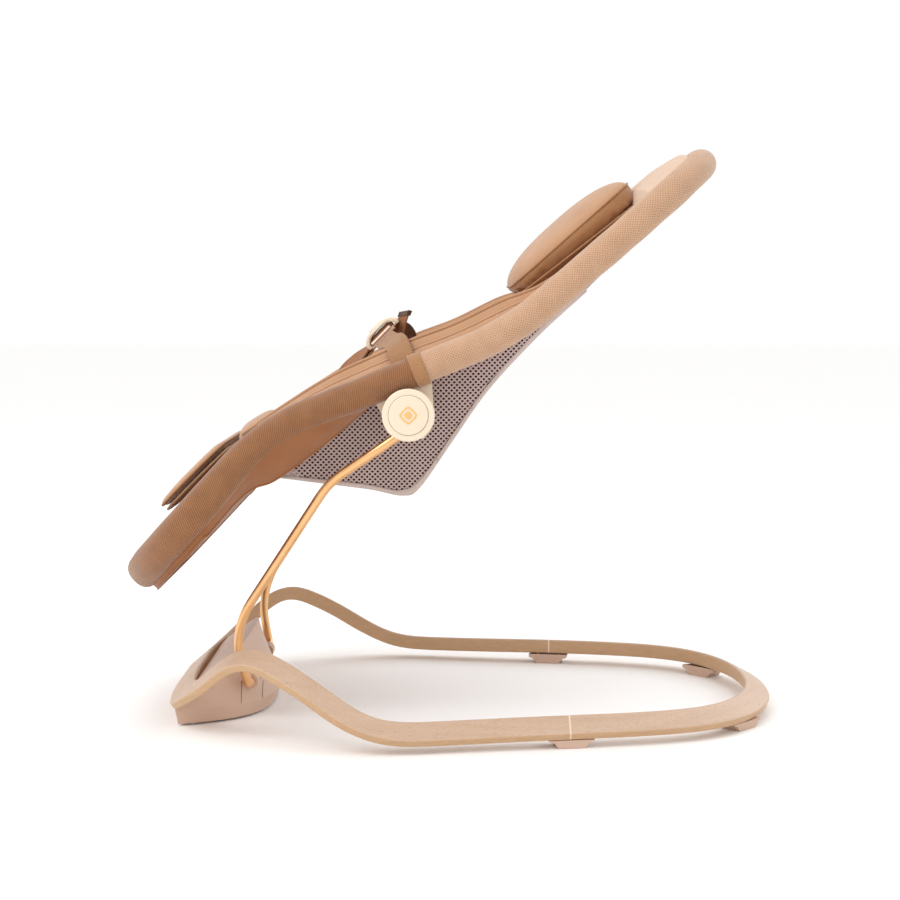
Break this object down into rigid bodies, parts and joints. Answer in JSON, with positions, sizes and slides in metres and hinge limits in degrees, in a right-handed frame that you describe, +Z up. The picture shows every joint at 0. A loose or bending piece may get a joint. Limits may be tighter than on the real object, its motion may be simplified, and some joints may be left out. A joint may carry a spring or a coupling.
{
  "type": "infant bouncer seat",
  "caption": "Reclining infant bouncer seat with a mesh bucket and padded sleeves on a tubular frame, carried by a bent steel rod on an oval bentwood ring base.",
  "frame": {"origin": "on the floor, at the middle of the part's bounding box seen from above", "axes": "+X towards the head end, +Y towards the seated child's right, +Z up; the part is symmetric about the plane y = 0"},
  "size_m": [0.66, 0.4936, 0.574],
  "materials": {
    "wood": "satin bentwood, pale oak",
    "cream_plastic": "fine satin moulding",
    "beige_plastic": "fine matt moulding",
    "grey_rubber": "matt",
    "bearing_plastic": "smooth",
    "steel": "zinc plated",
    "copper_steel": "gloss copper lacquer",
    "brown_knit": "fine ribbed knit",
    "tan_knit": "three-dimensional mesh knit",
    "band_fabric": "woven tape",
    "mauve_mesh": "coarse spacer mesh",
    "brown_fabric": "soft plain weave",
    "dark_webbing": "woven webbing",
    "tan_webbing": "woven webbing",
    "slider_metal": "satin"
  },
  "bodies": {
    "base": {"front_ring": "wood", "rear_ring": "wood", "ring_joiner_left": "cream_plastic", "ring_joiner_right": "cream_plastic", "housing_lower": "beige_plastic", "housing_upper": "beige_plastic", "housing_screws": "steel", "ring_screws": "steel", "rod_bush_left": "bearing_plastic", "rod_bush_right": "bearing_plastic", "front_foot_left": "grey_rubber", "front_foot_right": "grey_rubber", "joint_foot_left": "beige_plastic", "joint_foot_right": "beige_plastic", "rear_foot_left": "beige_plastic", "rear_foot_right": "beige_plastic", "foot_screws": "steel"},
    "support": {"support_rod": "copper_steel", "hub_socket_left": "cream_plastic", "hub_socket_right": "cream_plastic", "hub_axle_left": "steel", "hub_axle_right": "steel", "button_spring_left": "grey_rubber", "button_spring_right": "grey_rubber"},
    "seat": {"seat_frame_front": "steel", "seat_frame_rear": "steel", "frame_spigot_left": "steel", "frame_spigot_right": "steel", "hub_plate_left": "cream_plastic", "hub_plate_right": "cream_plastic", "plate_rivets": "steel", "front_sleeve": "brown_knit", "rear_sleeve": "tan_knit", "sleeve_band_left": "band_fabric", "sleeve_band_right": "band_fabric", "side_mesh_left": "mauve_mesh", "side_mesh_right": "mauve_mesh", "seat_base_panel": "mauve_mesh", "head_panel": "mauve_mesh", "under_panel": "brown_fabric", "leg_gusset_left": "brown_fabric", "leg_gusset_right": "brown_fabric", "seat_liner": "brown_fabric", "liner_side_left": "brown_fabric", "liner_side_right": "brown_fabric", "leg_pad": "brown_fabric", "head_pillow": "brown_fabric", "crotch_strap": "dark_webbing", "waist_strap_left": "tan_webbing", "waist_strap_right": "tan_webbing", "strap_slider_left": "slider_metal", "strap_slider_right": "slider_metal", "buckle_body": "cream_plastic", "buckle_tongue_left": "cream_plastic", "buckle_tongue_right": "cream_plastic"},
    "button_left": {"recline_button_left": "cream_plastic"},
    "button_right": {"recline_button_right": "cream_plastic"},
    "buckle_release": {"buckle_button": "cream_plastic"}
  },
  "joints": [
    {"name": "bounce", "type": "hinge", "parent": "base", "child": "support", "pos_m": [-0.208, 0, 0.038], "axis": [0, 1, 0], "range_deg": [-4, 6], "stiffness_Nm_per_rad": 150, "springref_deg": -2.58},
    {"name": "recline", "type": "hinge", "parent": "support", "child": "seat", "pos_m": [-0.044, 0, 0.317], "axis": [0, 1, 0], "range_deg": [0, 24]},
    {"name": "button_left_press", "type": "slide", "parent": "support", "child": "button_left", "axis": [0, 1, 0], "range_m": [0, 0.003], "stiffness_N_per_m": 600, "springref_m": -0.002, "deforming": ["button_spring_left"]},
    {"name": "button_right_press", "type": "slide", "parent": "support", "child": "button_right", "axis": [0, -1, 0], "range_m": [0, 0.003], "stiffness_N_per_m": 600, "springref_m": -0.002, "deforming": ["button_spring_right"]},
    {"name": "buckle_press", "type": "slide", "parent": "seat", "child": "buckle_release", "axis": [0.7141, 0, -0.7001], "range_m": [0, 0.002], "stiffness_N_per_m": 400, "springref_m": -0.002}
  ]
}
